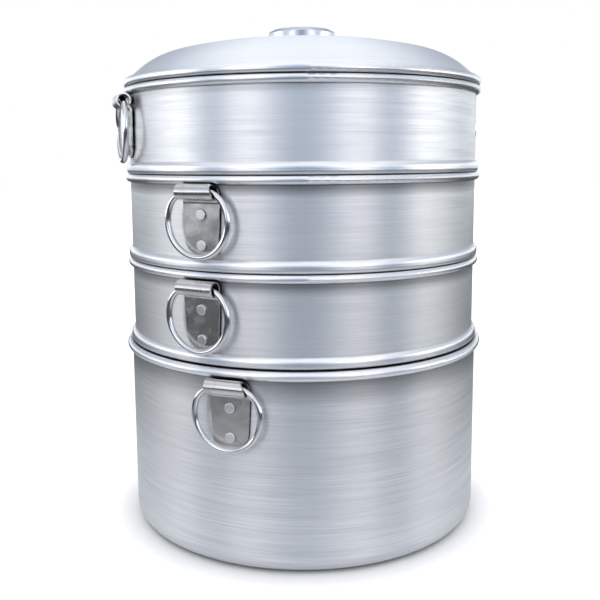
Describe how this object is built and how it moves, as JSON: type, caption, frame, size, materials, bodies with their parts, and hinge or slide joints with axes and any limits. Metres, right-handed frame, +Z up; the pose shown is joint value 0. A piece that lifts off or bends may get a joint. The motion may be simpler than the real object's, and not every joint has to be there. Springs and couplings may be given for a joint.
{
  "type": "dumpling steamer",
  "caption": "Stacked aluminium steamer: a deep boiling pot, perforated steaming tiers with ring handles, and a domed lid with a flat knob.",
  "frame": {"origin": "centre of the pot's flat bottom face, on the surface it stands on", "axes": "+Z up through the stack to the knob; -Y towards the side seen in the picture"},
  "size_m": [0.3382, 0.3414, 0.4479],
  "materials": {
    "pot_aluminium": "brushed, fine lines round the pot",
    "tier_aluminium": "brushed, fine lines round the tier",
    "lid_aluminium": "satin, spun",
    "knob_metal": "polished",
    "strap_metal": "mill finish sheet",
    "ring_steel": "polished wire",
    "rivet_metal": "set rivet, slightly dull"
  },
  "bodies": {
    "pot": {"pot_shell": "pot_aluminium", "pot_left_bracket": "strap_metal", "pot_left_rivets": "rivet_metal", "pot_right_bracket": "strap_metal", "pot_right_rivets": "rivet_metal"},
    "lower_tier": {"lower_tier_shell": "tier_aluminium", "lower_tier_left_bracket": "strap_metal", "lower_tier_left_rivets": "rivet_metal", "lower_tier_right_bracket": "strap_metal", "lower_tier_right_rivets": "rivet_metal"},
    "middle_tier": {"middle_tier_shell": "tier_aluminium", "middle_tier_left_bracket": "strap_metal", "middle_tier_left_rivets": "rivet_metal", "middle_tier_right_bracket": "strap_metal", "middle_tier_right_rivets": "rivet_metal"},
    "upper_tier": {"upper_tier_shell": "tier_aluminium", "upper_tier_left_bracket": "strap_metal", "upper_tier_left_rivets": "rivet_metal", "upper_tier_right_bracket": "strap_metal", "upper_tier_right_rivets": "rivet_metal"},
    "lid": {"lid_shell": "lid_aluminium", "knob_base": "knob_metal", "knob_cap": "knob_metal", "knob_rivet": "rivet_metal"},
    "pot_left_handle": {"pot_left_ring": "ring_steel"},
    "pot_right_handle": {"pot_right_ring": "ring_steel"},
    "lower_tier_left_handle": {"lower_tier_left_ring": "ring_steel"},
    "lower_tier_right_handle": {"lower_tier_right_ring": "ring_steel"},
    "middle_tier_left_handle": {"middle_tier_left_ring": "ring_steel"},
    "middle_tier_right_handle": {"middle_tier_right_ring": "ring_steel"},
    "upper_tier_left_handle": {"upper_tier_left_ring": "ring_steel"},
    "upper_tier_right_handle": {"upper_tier_right_ring": "ring_steel"}
  },
  "joints": [
    {"name": "lower_tier_lift", "type": "slide", "parent": "pot", "child": "lower_tier", "axis": [0, 0, 1], "range_m": [0, 0.1]},
    {"name": "middle_tier_lift", "type": "slide", "parent": "lower_tier", "child": "middle_tier", "axis": [0, 0, 1], "range_m": [0, 0.1]},
    {"name": "upper_tier_lift", "type": "slide", "parent": "middle_tier", "child": "upper_tier", "axis": [0, 0, 1], "range_m": [0, 0.1]},
    {"name": "lid_lift", "type": "slide", "parent": "upper_tier", "child": "lid", "axis": [0, 0, 1], "range_m": [0, 0.12]},
    {"name": "pot_left_ring_swing", "type": "hinge", "parent": "pot", "child": "pot_left_handle", "pos_m": [-0.06036, -0.15807, 0.1545], "axis": [-0.9342, 0.3567, 0], "range_deg": [0, 160]},
    {"name": "pot_right_ring_swing", "type": "hinge", "parent": "pot", "child": "pot_right_handle", "pos_m": [0.06036, 0.15807, 0.1545], "axis": [0.9342, -0.3567, 0], "range_deg": [0, 160]},
    {"name": "lower_tier_left_ring_swing", "type": "hinge", "parent": "lower_tier", "child": "lower_tier_left_handle", "pos_m": [-0.0832, -0.14411, 0.2308], "axis": [-0.866, 0.5, 0], "range_deg": [0, 160]},
    {"name": "lower_tier_right_ring_swing", "type": "hinge", "parent": "lower_tier", "child": "lower_tier_right_handle", "pos_m": [0.0832, 0.14411, 0.2308], "axis": [0.866, -0.5, 0], "range_deg": [0, 160]},
    {"name": "middle_tier_left_ring_swing", "type": "hinge", "parent": "middle_tier", "child": "middle_tier_left_handle", "pos_m": [-0.08194, -0.14483, 0.3063], "axis": [-0.8704, 0.4924, 0], "range_deg": [0, 160]},
    {"name": "middle_tier_right_ring_swing", "type": "hinge", "parent": "middle_tier", "child": "middle_tier_right_handle", "pos_m": [0.08194, 0.14483, 0.3063], "axis": [0.8704, -0.4924, 0], "range_deg": [0, 160]},
    {"name": "upper_tier_left_ring_swing", "type": "hinge", "parent": "upper_tier", "child": "upper_tier_left_handle", "pos_m": [-0.15733, -0.05418, 0.3818], "axis": [-0.3256, 0.9455, 0], "range_deg": [0, 160]},
    {"name": "upper_tier_right_ring_swing", "type": "hinge", "parent": "upper_tier", "child": "upper_tier_right_handle", "pos_m": [0.15733, 0.05418, 0.3818], "axis": [0.3256, -0.9455, 0], "range_deg": [0, 160]}
  ]
}
